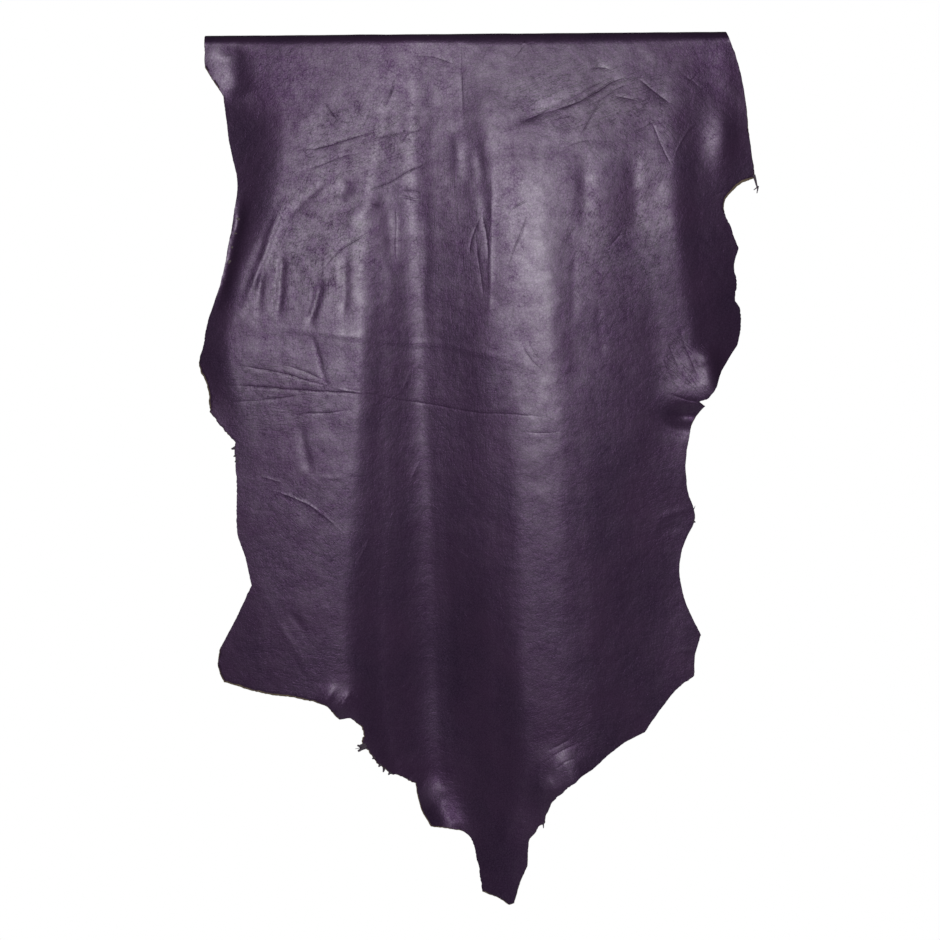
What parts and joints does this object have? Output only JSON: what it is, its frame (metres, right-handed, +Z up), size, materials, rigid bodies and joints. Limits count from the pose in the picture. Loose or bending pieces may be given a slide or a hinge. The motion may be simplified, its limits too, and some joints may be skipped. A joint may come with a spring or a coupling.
{
  "type": "leather hide",
  "caption": "Whole dyed leather hide with its natural uneven outline, hung over a bar by its shoulders, one fall long in front and a short one behind.",
  "frame": {"origin": "underside of the fold over the bar, at mid width, where the bar bears", "axes": "+X across the hide to the right of the grain side, +Z up, -Y out of the grain side of the front fall"},
  "size_m": [0.7692, 0.0531, 1.201],
  "materials": {
    "dyed_leather": "semi-gloss aniline-dyed grain side, suede flesh side"
  },
  "bodies": {
    "root": {"hide": "dyed_leather"}
  },
  "joints": []
}
